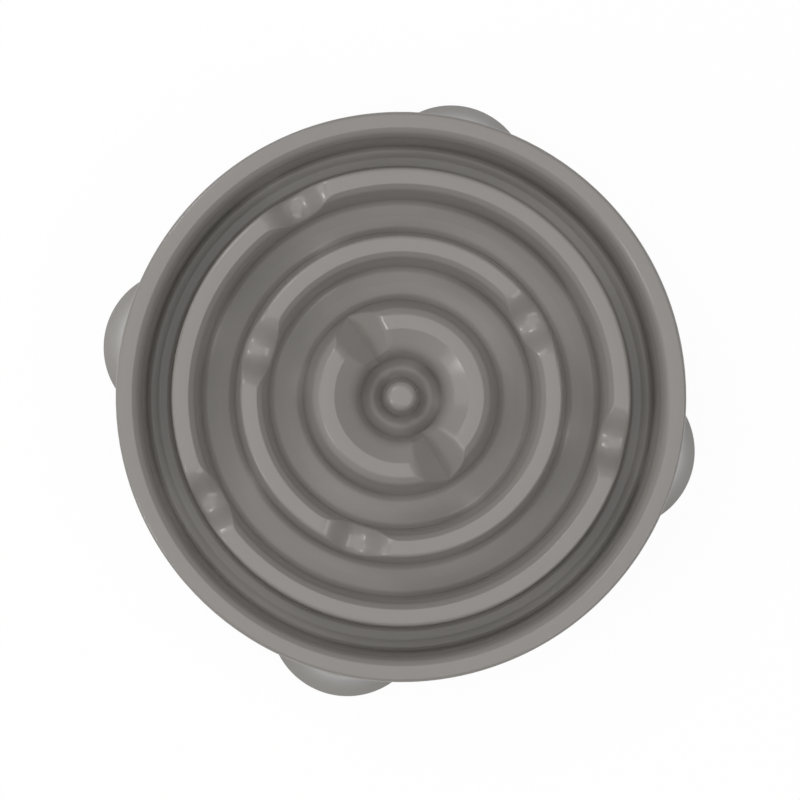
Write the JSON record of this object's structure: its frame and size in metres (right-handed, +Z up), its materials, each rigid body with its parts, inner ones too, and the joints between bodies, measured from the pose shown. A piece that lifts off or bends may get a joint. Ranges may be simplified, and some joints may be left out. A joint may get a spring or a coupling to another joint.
{
  "type": "slow feeder bowl",
  "caption": "Round slow feeder bowl with concentric food channels, notched ridges, a split hub, a domed centre post and flared feet on non-slip pads.",
  "frame": {"origin": "on the ground under the middle of the bowl", "axes": "+Z up; the four feet lie on +X, +Y, -X and -Y; the picture's up direction is 13.4 degrees counter-clockwise from +Y"},
  "size_m": [0.308, 0.308, 0.057],
  "materials": {
    "bowl_plastic": "semi-gloss moulded polypropylene, warm grey",
    "pad_rubber": "matt moulded thermoplastic rubber, darker grey"
  },
  "bodies": {
    "root": {"bowl": "bowl_plastic", "non_slip_pad_right": "pad_rubber", "non_slip_pad_back": "pad_rubber", "non_slip_pad_left": "pad_rubber", "non_slip_pad_front": "pad_rubber"}
  },
  "joints": []
}
